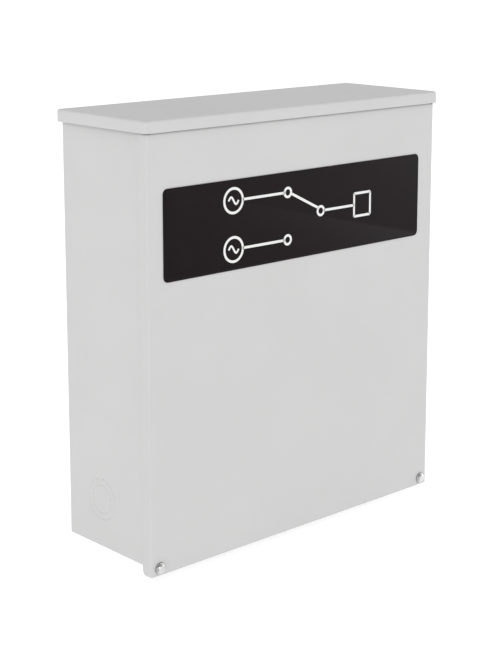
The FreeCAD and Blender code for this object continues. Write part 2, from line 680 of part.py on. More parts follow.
def rotor():
    save("transfer_shaft", rod_x(SHAFT_RADIUS, *SHAFT_XS, SHAFT_Y, SHAFT_Z))
    carrier = rod_x(CARRIER_RADIUS, *CARRIER_XS, SHAFT_Y, SHAFT_Z)
    save("contact_carrier", carrier.cut(rod_x(SHAFT_RADIUS, *SHAFT_XS, SHAFT_Y, SHAFT_Z)))
    half = BLADE_THICKNESS / 2
    blades = []
    tips = []
    for x in POLE_XS:
        ring = rod_x(RING_RADIUS, x - BLADE_HALF, x + BLADE_HALF, SHAFT_Y, SHAFT_Z)
        arm = box(x - BLADE_HALF, x + BLADE_HALF, SHAFT_Y - BLADE_REACH, SHAFT_Y, SHAFT_Z - half, SHAFT_Z + half)
        blade = join([ring, arm]).cut(rod_x(CARRIER_RADIUS, x - 8, x + 8, SHAFT_Y, SHAFT_Z))
        blades.append(turned_to_rest(blade))
        for side_sign in (-1, 1):
            face = SHAFT_Z + side_sign * half
            tip = box(x - BLADE_HALF, x + BLADE_HALF, SHAFT_Y - BLADE_REACH, SHAFT_Y - BLADE_REACH + TIP_LENGTH,
                      face, face + side_sign * TIP_THICKNESS)
            tips.append(turned_to_rest(tip))
    save("moving_blades", *blades)
    save("blade_tips", *tips)
    left, right = CRANK_XS
    crank_hub = rod_x(CRANK_HUB_RADIUS, left, right, SHAFT_Y, SHAFT_Z)
    crank_eye = rod_x(CRANK_EYE_RADIUS, left, right, SHAFT_Y - CRANK_RADIUS, SHAFT_Z)
    crank_web = box(left, right, SHAFT_Y - CRANK_RADIUS, SHAFT_Y, SHAFT_Z - CRANK_EYE_RADIUS,
                    SHAFT_Z + CRANK_EYE_RADIUS)
    pin = rod_x(PIN_RADIUS, right, PIN_END, SHAFT_Y - CRANK_RADIUS, SHAFT_Z)
    crank = join([crank_hub, crank_eye, crank_web, pin])
    bore = rod_x(SHAFT_RADIUS, left - 1, right + 1, SHAFT_Y, SHAFT_Z)
    crank = cut(crank, [bore, spring_groove(SHAFT_Y - CRANK_RADIUS)])
    save("crank_arm", turned_to_rest(crank))
    left, right = CAM_XS
    cam = rod_x(CAM_RADIUS, left, right, SHAFT_Y - CAM_OFFSET, SHAFT_Z)
    save("switch_cam", turned_to_rest(cam.cut(rod_x(SHAFT_RADIUS, left - 1, right + 1, SHAFT_Y, SHAFT_Z))))
    left, right = HUB_XS
    middle = (left + right) / 2
    hub = rod_x(HUB_RADIUS, left, right, SHAFT_Y, SHAFT_Z)
    boss = rod_y(HUB_BOSS_RADIUS, SHAFT_Y - HUB_BOSS_REACH, SHAFT_Y, middle, SHAFT_Z)
    socket = rod_y(HUB_SOCKET_RADIUS, SHAFT_Y - HUB_BOSS_REACH - 1, SHAFT_Y - HUB_SOCKET_FOOT, middle, SHAFT_Z)
    bore = rod_x(SHAFT_RADIUS, left - 1, right + 1, SHAFT_Y, SHAFT_Z)
    save("handle_hub", cut(join([hub, boss]), [bore, socket]))


def toggle_spring():
    pin_y, pin_z = contact_point(CRANK_RADIUS, 0)
    pin = Vector(90, pin_y, pin_z)
    post = Vector(90, SHAFT_Y + CRANK_RADIUS, SHAFT_Z)
    run = (post - pin).normalize()
    start = pin + run * 4
    length = (post - pin).Length - 8
    barrel = Part.makeCylinder(3.4, length, start, run)
    save("toggle_spring", barrel.cut(Part.makeCylinder(2.4, length, start, run)))


COIL_LOW = 45.0
COIL_HIGH = 95.0
COIL_FRAME_XS = (57.0, 95.0)
COIL_FRAME_HALF = 18.0
COIL_SHEET = 2.5
COIL_BOSS_END = 98.0
COIL_BOSS_ZS = (61.0, 71.0)
YOKE_HALF = 12.0
YOKE_HALF_WIDTH = 7.5
YOKE_YS = (-92.0, -70.0)
YOKE_SLOT_HALF = 3.35
PLUNGER_GAP = 1.5        # left between the plunger and the closed end of its coil


def solenoids():
    coil_y = SHAFT_Y - CRANK_RADIUS
    left, right = COIL_FRAME_XS
    ys = (coil_y - COIL_FRAME_HALF, coil_y + COIL_FRAME_HALF)
    web = box(left, left + COIL_SHEET, *ys, COIL_LOW - COIL_SHEET, COIL_HIGH + COIL_SHEET)
    near = box(left + COIL_SHEET, right, *ys, COIL_LOW - COIL_SHEET, COIL_LOW)
    near = near.cut(rod_z(COIL_BORE, COIL_LOW - COIL_SHEET - 1, COIL_LOW + 1, COIL_X, coil_y))
    far = box(left + COIL_SHEET, right, *ys, COIL_HIGH, COIL_HIGH + COIL_SHEET)
    frame = join([web, near, far])
    winding = rod_z(COIL_RADIUS, COIL_LOW, COIL_HIGH, COIL_X, coil_y)
    boss = box(COIL_X, COIL_BOSS_END, coil_y - 5, coil_y + 5, *COIL_BOSS_ZS)
    coil = join([winding, boss]).cut(rod_z(COIL_BORE, COIL_LOW - 1, COIL_HIGH + 1, COIL_X, coil_y))
    save("utility_coil_frame", frame)
    save("generator_coil_frame", mirror_about_shaft(frame))
    save("utility_coil", coil)
    save("generator_coil", mirror_about_shaft(coil))
    pin_y, pin_z = contact_point(CRANK_RADIUS, 0)
    plunger_end = COIL_HIGH - PLUNGER_GAP
    plunger_length = plunger_end - pin_z - YOKE_HALF
    yoke = box(COIL_X - YOKE_HALF_WIDTH, COIL_X + YOKE_HALF_WIDTH, *YOKE_YS, pin_z - YOKE_HALF, pin_z + YOKE_HALF)
    slot_front = SHAFT_Y - CRANK_RADIUS - PIN_RADIUS - 0.4
    slot_back = pin_y + PIN_RADIUS + 0.4
    slot = box(COIL_X - YOKE_HALF_WIDTH - 1, COIL_X + YOKE_HALF_WIDTH + 1, slot_front, slot_back,
               pin_z - YOKE_SLOT_HALF, pin_z + YOKE_SLOT_HALF)
    upper = rod_z(PLUNGER_RADIUS, pin_z + YOKE_HALF, plunger_end, COIL_X, coil_y)
    lower = rod_z(PLUNGER_RADIUS, pin_z - YOKE_HALF - plunger_length, pin_z - YOKE_HALF, COIL_X, coil_y)
    save("solenoid_armature", join([yoke, upper, lower]).cut(slot))


LIMIT_XS = (-112.0, -97.0)
LIMIT_HALF_DEPTH = 11.0
LIMIT_ZS = (28.0, 50.0)
BUTTON_RADIUS = 2.0
BUTTON_BORE = (2.15, 8.0)        # radius and depth
BUTTON_GAP = 0.3                 # between a button and the cam
UTILITY_BUTTON_END = 34.0
GENERATOR_BUTTON_END = -11.5


def limit_switches():
    middle = (LIMIT_XS[0] + LIMIT_XS[1]) / 2
    bore_radius, bore_depth = BUTTON_BORE
    body = box(*LIMIT_XS, SHAFT_Y - LIMIT_HALF_DEPTH, SHAFT_Y + LIMIT_HALF_DEPTH, *LIMIT_ZS)
    body = body.cut(rod_z(bore_radius, LIMIT_ZS[0] - 1, LIMIT_ZS[0] + bore_depth, middle, SHAFT_Y))
    save("utility_limit_switch", body)
    save("generator_limit_switch", mirror_about_shaft(body))
    offset = CAM_OFFSET * math.sin(math.radians(HALF_THROW))
    high_start = SHAFT_Z + CAM_RADIUS + offset + BUTTON_GAP
    low_start = SHAFT_Z - CAM_RADIUS + offset - BUTTON_GAP
    save("utility_limit_button", rod_z(BUTTON_RADIUS, high_start, UTILITY_BUTTON_END, middle, SHAFT_Y))
    save("generator_limit_button", rod_z(BUTTON_RADIUS, low_start, GENERATOR_BUTTON_END, middle, SHAFT_Y))


# ---- hand lever and its clips
HANDLE_X = -190.0
HANDLE_Y = -26.0
HANDLE_RADIUS = 6.25
HANDLE_ZS = (-110.0, 92.0)
GRIP_RADIUS = 11.0
GRIP_ZS = (14.0, 104.0)
GRIP_EDGE = 3.0
CLIP_ZS = (-92.0, -10.0)
CLIP_RADIUS = 9.0
CLIP_HALF = 7.0
CLIP_GAP = 0.1
CLIP_STEM_HALF = 5.0
CLIP_FOOT_HALF = 16.0
CLIP_FOOT = 2.0          # thickness


def manual_handle():
    low, high = HANDLE_ZS
    save("manual_handle", rod_z(HANDLE_RADIUS, low, high, HANDLE_X, HANDLE_Y))
    grip = rod_z(GRIP_RADIUS, *GRIP_ZS, HANDLE_X, HANDLE_Y)
    grip = fillet_edges(grip, GRIP_EDGE, lambda edge: edge.Length > 20 and edge.BoundBox.ZLength < 0.1)
    save("handle_grip", grip.cut(rod_z(HANDLE_RADIUS, low, high, HANDLE_X, HANDLE_Y)))
    clips = []
    throat = HANDLE_RADIUS + CLIP_GAP
    foot_front = -SHEET - CLIP_FOOT
    for z in CLIP_ZS:
        zs = (z - CLIP_HALF, z + CLIP_HALF)
        outer = rod_z(CLIP_RADIUS, *zs, HANDLE_X, HANDLE_Y)
        arms = box(HANDLE_X - CLIP_RADIUS, HANDLE_X + CLIP_RADIUS, HANDLE_Y - CLIP_RADIUS, HANDLE_Y, *zs)
        stem = box(HANDLE_X - CLIP_STEM_HALF, HANDLE_X + CLIP_STEM_HALF, HANDLE_Y + 8, foot_front, *zs)
        foot = box(HANDLE_X - CLIP_FOOT_HALF, HANDLE_X + CLIP_FOOT_HALF, foot_front, -SHEET, *zs)
        inner = rod_z(throat, zs[0] - 1, zs[1] + 1, HANDLE_X, HANDLE_Y)
        mouth = box(HANDLE_X - throat, HANDLE_X + throat, HANDLE_Y - CLIP_RADIUS - 1, HANDLE_Y,
                    zs[0] - 1, zs[1] + 1)
        clips.append(cut(join([outer, arms, stem, foot]), [inner, mouth]))
    save("handle_clips", *clips)


# ---- control parts
RELAY_CENTRE = (189.0, 25.0)
FUSE_XS = (179.5, 189.0, 198.5)
FUSE_POCKET = (173.0, 205.0, -79.0, -31.0)
STRIP_LOW = -156.0
STRIP_PITCH = 9.0
STRIP_POLES = 6
STRIP_XS = (173.0, 205.0)
STRIP_FRONT = -28.0
STRIP_FIN_FRONT = -37.0
STRIP_FIN = 2.0
STRIP_SCREW_XS = (181.0, 197.0)
STRIP_SCREW_HEAD = (3.1, 3.0)
STRIP_SCREW_SHANK = (1.5, 7.0)


SOCKET_HALF_WIDTH = 20.0
SOCKET_HALF_HEIGHT = 25.0
SOCKET_FRONT = -34.0
RELAY_HALF = 17.0
RELAY_FRONT = -84.0
RELAY_BACK = -34.3
RELAY_CORNER = 2.0
RELAY_PIN_XS = (-12.0, -4.0, 4.0, 12.0)
RELAY_PIN_ZS = (-9.0, 9.0)
RELAY_PIN = (0.5, 2.5)           # half thickness and half width
RELAY_PIN_END = -25.0
PIN_SLOT_GAP = 0.5


def relay_and_socket():
    x, z = RELAY_CENTRE
    socket = box(x - SOCKET_HALF_WIDTH, x + SOCKET_HALF_WIDTH, SOCKET_FRONT, PAN_FRONT,
                 z - SOCKET_HALF_HEIGHT, z + SOCKET_HALF_HEIGHT)
    relay = box(x - RELAY_HALF, x + RELAY_HALF, RELAY_FRONT, RELAY_BACK, z - RELAY_HALF, z + RELAY_HALF)
    relay = fillet_edges(relay, RELAY_CORNER, lambda edge: runs_along(edge, Y_AXIS))
    pins = []
    holes = []
    half_x, half_z = RELAY_PIN
    slot_x, slot_z = half_x + PIN_SLOT_GAP, half_z + PIN_SLOT_GAP
    for dx in RELAY_PIN_XS:
        for dz in RELAY_PIN_ZS:
            px, pz = x + dx, z + dz
            pins.append(box(px - half_x, px + half_x, RELAY_BACK, RELAY_PIN_END, pz - half_z, pz + half_z))
            holes.append(box(px - slot_x, px + slot_x, SOCKET_FRONT, RELAY_PIN_END + 1, pz - slot_z, pz + slot_z))
    save("relay_socket", cut(socket, holes))
    save("control_relay", join([relay] + pins))


FUSE_WALL_X = 7.0
FUSE_WALL_Z = 6.0
FUSE_BLOCK_FRONT = -40.0
FUSE_POCKET_BACK = -22.0
FUSE_GAP = 0.5
PULLOUT_FRONT = -50.0
BAIL_FRONT = -66.0
BAIL_XS = (180.0, 198.0)
BAIL_ZS = (-61.0, -49.0)
BAIL_BAR = (4.0, 5.0)            # thickness at the sides and at the front
FUSE_RADIUS = 3.2
FUSE_BORE = 3.4
FUSE_Y = -36.0
FUSE_ZS = (-72.0, -38.0)
FUSE_WINDOWS = ((-70.0, -63.0), (-47.0, -40.0))
FUSE_WINDOW_HALF = 2.0


def fuse_holder():
    left, right, low, high = FUSE_POCKET
    block = box(left - FUSE_WALL_X, right + FUSE_WALL_X, FUSE_BLOCK_FRONT, PAN_FRONT,
                low - FUSE_WALL_Z, high + FUSE_WALL_Z)
    pocket = box(left, right, FUSE_BLOCK_FRONT - 1, FUSE_POCKET_BACK, low, high)
    save("fuse_block", block.cut(pocket))
    pullout = box(left + FUSE_GAP, right - FUSE_GAP, PULLOUT_FRONT, FUSE_POCKET_BACK - FUSE_GAP,
                  low + FUSE_GAP, high - FUSE_GAP)
    side, front = BAIL_BAR
    bail = box(*BAIL_XS, BAIL_FRONT, PULLOUT_FRONT, *BAIL_ZS)
    bail = bail.cut(box(BAIL_XS[0] + side, BAIL_XS[1] - side, BAIL_FRONT + front, PULLOUT_FRONT,
                        BAIL_ZS[0] - 1, BAIL_ZS[1] + 1))
    tools = []
    fuses = []
    for x in FUSE_XS:
        tools.append(rod_z(FUSE_BORE, FUSE_ZS[0] - 1, FUSE_ZS[1] + 1, x, FUSE_Y))
        for window in FUSE_WINDOWS:
            tools.append(box(x - FUSE_WINDOW_HALF, x + FUSE_WINDOW_HALF, PULLOUT_FRONT - 1, FUSE_Y, *window))
        fuses.append(rod_z(FUSE_RADIUS, *FUSE_ZS, x, FUSE_Y))
    save("fuse_pullout", cut(join([pullout, bail]), tools))
    save("control_fuses", *fuses)


def terminal_strip(ground_screws):
    length = STRIP_PITCH * STRIP_POLES + STRIP_FIN
    pieces = [box(*STRIP_XS, STRIP_FRONT, PAN_FRONT, STRIP_LOW, STRIP_LOW + length)]
    holes = []
    screws = list(ground_screws)
    for i in range(STRIP_POLES + 1):
        low = STRIP_LOW + STRIP_PITCH * i
        pieces.append(box(*STRIP_XS, STRIP_FIN_FRONT, STRIP_FRONT, low, low + STRIP_FIN))
    for i in range(STRIP_POLES):
        z = STRIP_LOW + STRIP_PITCH * i + (STRIP_PITCH + STRIP_FIN) / 2
        for x in STRIP_SCREW_XS:
            holes.append(rod_y(1.7, STRIP_FRONT - 1, STRIP_FRONT + 8, x, z))
            screws.append(slotted_screw(x, z, STRIP_FRONT, STRIP_SCREW_HEAD, STRIP_SCREW_SHANK))
    save("terminal_strip", cut(join(pieces), holes))
    save("terminal_screws", *screws)


# ---- control wires: straight runs joined by tangent arcs
WIRE_RADIUS = 1.6
WIRE_BEND = 9.0
WIRE_ROUTES = (
    ((98, -82, 66), (150, -82, 66), (150, -26, 66), (181, -26, 66), (181, -26, 50)),
    ((98, -82, -46), (151, -82, -46), (151, -26, -46), (166, -26, -46)),
    ((-112, -62, 40), (-143, -62, 40), (-143, -62, 148), (-143, -20, 148), (153, -20, 148),
     (153, -20, 34), (169, -20, 34)),
    ((-112, -62, -20), (-143, -62, -20), (-143, -62, -128), (-143, -20, -128), (173, -20, -128)),
    ((181, -25, 0), (181, -25, -25)),
    ((197, -25, 0), (197, -25, -25)),
    ((181, -22, -85), (181, -22, -100)),
    ((197, -22, -85), (197, -22, -100)),
)


def wire_solid(route):
    points = [Vector(*point) for point in route]
    edges = []
    here = points[0]
    for i in range(1, len(points) - 1):
        corner = points[i]
        before = (corner - points[i - 1]).normalize()
        after = (points[i + 1] - corner).normalize()
        shorter = min((corner - points[i - 1]).Length, (points[i + 1] - corner).Length)
        radius = min(WIRE_BEND, 0.45 * shorter)
        start = corner - before * radius
        end = corner + after * radius
        middle = corner + (after - before) * (radius * (1 - 1 / math.sqrt(2)))
        edges.append(Part.LineSegment(here, start).toShape())
        edges.append(Part.Arc(start, middle, end).toShape())
        here = end
    edges.append(Part.LineSegment(here, points[-1]).toShape())
    path = Part.Wire(edges)
    ring = Part.Wire(Part.Circle(points[0], points[1] - points[0], WIRE_RADIUS).toShape())
    return path.makePipeShell([ring], True, True)


def control_wires():
    save("control_wires", *[wire_solid(route) for route in WIRE_ROUTES])


os.makedirs("parts", exist_ok=True)
enclosure_body()
front_returns()
bottom_plate()
drip_cap()
front_cover()
cover_fasteners()
cover_plates()
mounting_pans()
switch_base()
side_frames()
fixed_contacts()
load_conductors()
arc_chutes()
lugs()
ground_screws = neutral_and_ground()
rotor()
toggle_spring()
solenoids()
limit_switches()
manual_handle()
relay_and_socket()
fuse_holder()
terminal_strip(ground_screws)
control_wires()
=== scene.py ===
import math

import bmesh
import bpy
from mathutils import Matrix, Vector


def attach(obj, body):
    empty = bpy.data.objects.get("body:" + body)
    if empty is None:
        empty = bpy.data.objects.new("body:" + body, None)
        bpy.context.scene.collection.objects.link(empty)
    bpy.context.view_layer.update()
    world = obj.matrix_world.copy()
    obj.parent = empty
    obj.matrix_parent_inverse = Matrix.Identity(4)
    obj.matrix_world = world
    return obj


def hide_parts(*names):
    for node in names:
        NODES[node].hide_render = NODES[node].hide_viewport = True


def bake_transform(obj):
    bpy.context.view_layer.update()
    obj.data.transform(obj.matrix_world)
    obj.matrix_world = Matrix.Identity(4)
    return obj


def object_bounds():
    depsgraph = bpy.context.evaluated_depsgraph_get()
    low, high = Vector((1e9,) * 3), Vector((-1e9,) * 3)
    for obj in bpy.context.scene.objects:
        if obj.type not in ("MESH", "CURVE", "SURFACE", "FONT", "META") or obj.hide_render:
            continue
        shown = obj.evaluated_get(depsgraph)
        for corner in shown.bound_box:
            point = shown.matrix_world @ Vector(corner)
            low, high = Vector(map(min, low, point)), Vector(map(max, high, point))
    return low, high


# Wall-mounted transfer switch. Metres, in the CAD frame: the wall face is Y = 0, the cover faces -Y.

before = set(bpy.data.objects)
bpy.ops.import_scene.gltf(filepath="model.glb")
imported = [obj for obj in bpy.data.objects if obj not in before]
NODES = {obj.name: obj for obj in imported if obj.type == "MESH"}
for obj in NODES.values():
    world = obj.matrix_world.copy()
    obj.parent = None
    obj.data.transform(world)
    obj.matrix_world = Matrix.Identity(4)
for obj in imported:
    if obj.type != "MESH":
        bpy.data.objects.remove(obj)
cad_low, cad_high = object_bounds()
MM = 0.001

# ---- camera
LENS_MM = 83.98
SENSOR_MM = 36
SHIFT_UP = -0.165
CAMERA_TURN = 42.54          # degrees from straight ahead, towards -X
CAMERA_PITCH = -10.52
CAMERA_BACK = 1884 * MM
CAMERA_SIDE = 43.3 * MM
CAMERA_UP = 440.0 * MM
CLIP_NEAR, CLIP_FAR = 0.05, 60

# ---- stage
FLOOR_Z = cad_low.z
FLOOR_GAP = 0.010            # the case hangs on a wall, clear of the floor
FLOOR_HALF = 60.0
FLOOR_TONE, FLOOR_GLOW = 0.86, 0.52
SKY_LIGHT = 0.655            # what the world casts on the part
SKY_SEEN = 1.05              # what the background shows
LIGHT_TARGET = (0, -0.08, 0.0)
LIGHTS = (
    # name, place in metres, width and height in metres, watts
    ("key", (-2.7, -2.5, 1.7), (1.4, 1.0), 24),
    ("right_fill", (3.6, -0.5, 1.4), (1.6, 1.0), 37),
    ("back_fill", (-0.6, 3.6, 1.6), (1.6, 1.0), 24),
)

# ---- places on the mechanism, in millimetres
SHAFT_Y = -62.0
SHAFT_Z = 10.0
POLES = (-50.0, 10.0)
SOURCES = (("utility", False), ("generator", True))     # the generator side mirrors the utility side


# ---- materials
MIX_A, MIX_B, MIX_RESULT = 6, 7, 2                      # the colour sockets of a Mix node
SKIN_DEPTH = 0.0002                                     # bump distance in metres
# painted shade: the paint is darkened where nearby surfaces hide the sky, as under the cap lip
CREVICE_SHADE_SAMPLES = 12
CREVICE_SHADE_SHUT = 0.5                                      # share of open sky where the painted shade in crevices is darkest
PAINTED_CREVICE_SHADE = (
    # painted shade in crevices, as under the cap lip: reach in metres, share of open sky where it ends,
    # darkest tone
    (0.0060, 0.82, 0.05),
    (0.008, 0.97, 0.92),
)
PAINT_GREY = (0.600, 0.600, 0.598)
SPANGLE_SCALE = 160


class Graph:
    """A material's node tree, with short calls for the nodes used here."""

    def __init__(self, name):
        self.material = bpy.data.materials.new(name)
        self.material.use_nodes = True
        self.tree = self.material.node_tree
        self.shader = self.tree.nodes["Principled BSDF"]
        self.place = self.tree.nodes.new("ShaderNodeTexCoord").outputs["Object"]

    def link(self, source, target):
        self.tree.links.new(source, target)

    def scaled(self, stretch):
        node = self.tree.nodes.new("ShaderNodeMapping")
        node.inputs["Scale"].default_value = stretch
        self.link(self.place, node.inputs["Vector"])
        return node.outputs["Vector"]

    def noise(self, scale, detail=3.0, roughness=0.55, stretch=None):
        node = self.tree.nodes.new("ShaderNodeTexNoise")
        node.inputs["Scale"].default_value = scale
        node.inputs["Detail"].default_value = detail
        node.inputs["Roughness"].default_value = roughness
        self.link(self.scaled(stretch) if stretch else self.place, node.inputs["Vector"])
        return node.outputs["Fac"]

    def ramp(self, source, low, high, first, last):
        """Maps source between low and high onto two values or two colours."""
        node = self.tree.nodes.new("ShaderNodeValToRGB")
        stops = node.color_ramp.elements
        stops[0].position, stops[1].position = low, high
        stops[0].color, stops[1].color = colour(first), colour(last)
        self.link(source, node.inputs["Fac"])
        return node.outputs["Color"]

    def multiplied(self, tone, other, share=1.0):
        """Multiplies a tone by another, with share of the effect."""
        mix = self.tree.nodes.new("ShaderNodeMix")
        mix.data_type = "RGBA"
        mix.blend_type = "MULTIPLY"
        mix.inputs["Factor"].default_value = share
        self.link(tone, mix.inputs[MIX_A])
        self.link(other, mix.inputs[MIX_B])
        return mix.outputs[MIX_RESULT]

    def crevice_shade(self, tone, reach, fade, darkest):
        """Paints shade into a tone: darkens it where another surface stands closer than reach, until fade of
        the sky is open.
        """
        occlusion_shade = self.tree.nodes.new("ShaderNodeAmbientOcclusion")
        occlusion_shade.samples = CREVICE_SHADE_SAMPLES
        occlusion_shade.inputs["Distance"].default_value = reach
        return self.multiplied(tone, self.ramp(occlusion_shade.outputs["AO"], CREVICE_SHADE_SHUT, fade, darkest, 1.0))

    def bump(self, heights, strength):
        """Adds bump layers, each a (height, share) pair."""
        normal = None
        for height, share in heights:
            node = self.tree.nodes.new("ShaderNodeBump")
            node.inputs["Strength"].default_value = strength * share
            node.inputs["Distance"].default_value = SKIN_DEPTH
            self.link(height, node.inputs["Height"])
            if normal:
                self.link(normal, node.inputs["Normal"])
            normal = node.outputs["Normal"]
        self.link(normal, self.shader.inputs["Normal"])


def colour(value):
    if isinstance(value, (int, float)):
        return (value, value, value, 1.0)
    return (*value, 1.0)


def shade(value, factor):
    return tuple(min(1.0, channel * factor) for channel in value)


def powder_coat(name, base, contrast=0.015):
    """Baked powder paint: orange peel, a faint cloudiness, slightly uneven gloss and painted shade in its
    crevices.
    """
    graph = Graph(name)
    peel = graph.noise(scale=900, detail=2.0)
    cloud = graph.noise(scale=9, detail=4.0)
    speck = graph.noise(scale=260, detail=2.0)
    tone = graph.ramp(cloud, 0.3, 0.7, shade(base, 1 - contrast), shade(base, 1 + contrast))
    # painted shade: darkens the paint where nearby surfaces hide the sky, as under the cap lip
    for reach, fade, darkest in PAINTED_CREVICE_SHADE:
        tone = graph.crevice_shade(tone, reach, fade, darkest)
    graph.link(tone, graph.shader.inputs["Base Color"])
    graph.link(graph.ramp(speck, 0.3, 0.7, 0.42, 0.52), graph.shader.inputs["Roughness"])
    graph.shader.inputs["Specular IOR Level"].default_value = 0.4
    graph.bump([(cloud, 0.05), (peel, 0.5)], strength=0.12)
    return graph.material


def metal(name, base, roughness, brushed=None, spangle=0.0, wear=0.12):
    """Bare metal: brushed along an axis or plain, with smudges in its gloss and, for zinc, a spangle."""
    graph = Graph(name)
    stretch = {"x": (1, 40, 40), "y": (40, 1, 40), "z": (40, 40, 1), None: (20, 20, 20)}[brushed]
    grain = graph.noise(scale=30, detail=3.0, stretch=stretch)
    smudge = graph.noise(scale=55, detail=4.0)
    dull = graph.ramp(smudge, 0.3, 0.72, shade(base, 1 - wear), shade(base, 1 + wear / 2))
    if spangle:
        cells = graph.tree.nodes.new("ShaderNodeTexVoronoi")
        cells.inputs["Scale"].default_value = SPANGLE_SCALE
        graph.link(graph.place, cells.inputs["Vector"])
        dull = graph.multiplied(dull, graph.ramp(cells.outputs["Color"], 0.15, 0.85, 0.45, 1.0), spangle)
    graph.link(dull, graph.shader.inputs["Base Color"])
    graph.shader.inputs["Metallic"].default_value = 1.0
    rough = graph.ramp(smudge, 0.25, 0.75, roughness * 0.8, min(1.0, roughness * 1.3))
    graph.link(rough, graph.shader.inputs["Roughness"])
    graph.bump([(grain, 1.0)], strength=0.18)
    return graph.material


def plastic(name, base, roughness, grain=420, contrast=0.1, strength=0.15, gloss=0.5):
    """Moulded plastic or rubber with a fine eroded skin and dusty patches."""
    graph = Graph(name)
    skin = graph.noise(scale=grain, detail=2.0)
    dust = graph.noise(scale=24, detail=4.0)
    tone = graph.ramp(dust, 0.3, 0.75, shade(base, 1 - contrast), shade(base, 1 + contrast))
    graph.link(tone, graph.shader.inputs["Base Color"])
    graph.link(graph.ramp(dust, 0.3, 0.7, roughness * 0.9, min(1.0, roughness * 1.15)),
               graph.shader.inputs["Roughness"])
    graph.shader.inputs["Specular IOR Level"].default_value = gloss
    graph.bump([(skin, 1.0)], strength)
    return graph.material


def clear_plastic(name, base):
    """Clear polycarbonate with fine scratches and a slight haze."""
    graph = Graph(name)
    haze = graph.noise(scale=45, detail=4.0)
    scratch = graph.noise(scale=60, detail=3.0, stretch=(1, 1, 30))
    graph.link(graph.ramp(haze, 0.35, 0.7, shade(base, 0.96), base), graph.shader.inputs["Base Color"])
    graph.link(graph.ramp(haze, 0.3, 0.7, 0.04, 0.12), graph.shader.inputs["Roughness"])
    graph.shader.inputs["Transmission Weight"].default_value = 0.95
    graph.shader.inputs["IOR"].default_value = 1.45
    graph.bump([(scratch, 1.0)], strength=0.03)
    return graph.material


def build_materials():
    """One material for each slot of the CAD, and those that only this script's own pieces use."""
    return {
        "case_paint": powder_coat("case_paint", PAINT_GREY),
        "cap_paint": powder_coat("cap_paint", PAINT_GREY),
        "plate_black": plastic("plate_black", (0.010, 0.0065, 0.0075), 0.40, grain=700, contrast=0.12,
                               strength=0.05, gloss=0.08),
        "label_paper": plastic("label_paper", (0.74, 0.73, 0.69), 0.62, grain=500, contrast=0.04,
                               strength=0.04),
        "zinc_screw": metal("zinc_screw", (0.66, 0.665, 0.66), 0.24, wear=0.2),
        "galvanised": metal("galvanised", (0.60, 0.61, 0.62), 0.38, spangle=0.35),
        "moulded_black": plastic("moulded_black", (0.030, 0.028, 0.028), 0.46),
        "bushing_bronze": metal("bushing_bronze", (0.55, 0.34, 0.16), 0.34),
        "shaft_steel": metal("shaft_steel", (0.50, 0.50, 0.51), 0.25, "x"),
        "carrier_red": plastic("carrier_red", (0.20, 0.030, 0.018), 0.5),
        "copper": metal("copper", (0.72, 0.33, 0.18), 0.3, "z", wear=0.25),
        "silver": metal("silver", (0.80, 0.79, 0.75), 0.28, wear=0.2),
        "chute_steel": metal("chute_steel", (0.33, 0.33, 0.35), 0.42, wear=0.3),
        "aluminium_lug": metal("aluminium_lug", (0.70, 0.71, 0.73), 0.36, "x"),
        "spring_steel": metal("spring_steel", (0.30, 0.30, 0.32), 0.3),
        "coil_wrap": plastic("coil_wrap", (0.27, 0.13, 0.022), 0.42, grain=600),
        "button_white": plastic("button_white", (0.68, 0.66, 0.58), 0.4),
        "grip_black": plastic("grip_black", (0.024, 0.024, 0.025), 0.62, grain=260, contrast=0.15,
                              strength=0.3),
        "relay_case": plastic("relay_case", (0.55, 0.57, 0.57), 0.2),
        "insulator_grey": plastic("insulator_grey", (0.085, 0.086, 0.09), 0.5),
        "fuse_body": plastic("fuse_body", (0.62, 0.57, 0.42), 0.3),
        "wire_insulation": plastic("wire_insulation", (0.012, 0.030, 0.16), 0.4),
        "ink_white": plastic("ink_white", (0.82, 0.82, 0.81), 0.5, grain=600, contrast=0.03,
                             strength=0.04),
        "ink_black": plastic("ink_black", (0.02, 0.02, 0.022), 0.6, grain=600, contrast=0.1,
                             strength=0.04),
        "fibre": plastic("fibre", (0.30, 0.20, 0.13), 0.7, grain=300, contrast=0.15, strength=0.25),
        "wire_red": plastic("wire_red", (0.30, 0.016, 0.012), 0.4),
        "wire_white": plastic("wire_white", (0.62, 0.61, 0.57), 0.4),
        "relay_clear": clear_plastic("relay_clear", (0.93, 0.95, 0.95)),
    }


MATERIALS = build_materials()
SHARP_EDGE = 35              # degrees between faces from which an edge is rounded


def slot_of(node):
    return node.data.materials[0].name.split(".")[0]


def soften(obj, width):
    """Rounds the sharp edges a little, as a sheared or moulded edge is."""
    edge = obj.modifiers.new("edge", "BEVEL")
    edge.width = width
    edge.segments = 2
    edge.limit_method = "ANGLE"
    edge.angle_limit = math.radians(SHARP_EDGE)
    edge.harden_normals = True
    edge.use_clamp_overlap = True


for name, node in NODES.items():
    slot = slot_of(node)
    node.data.materials.clear()
    node.data.materials.append(MATERIALS[slot])


# ---- mesh building, in millimetres
SHARPEST_MITRE = 0.4         # cosine that limits how far a printed corner reaches


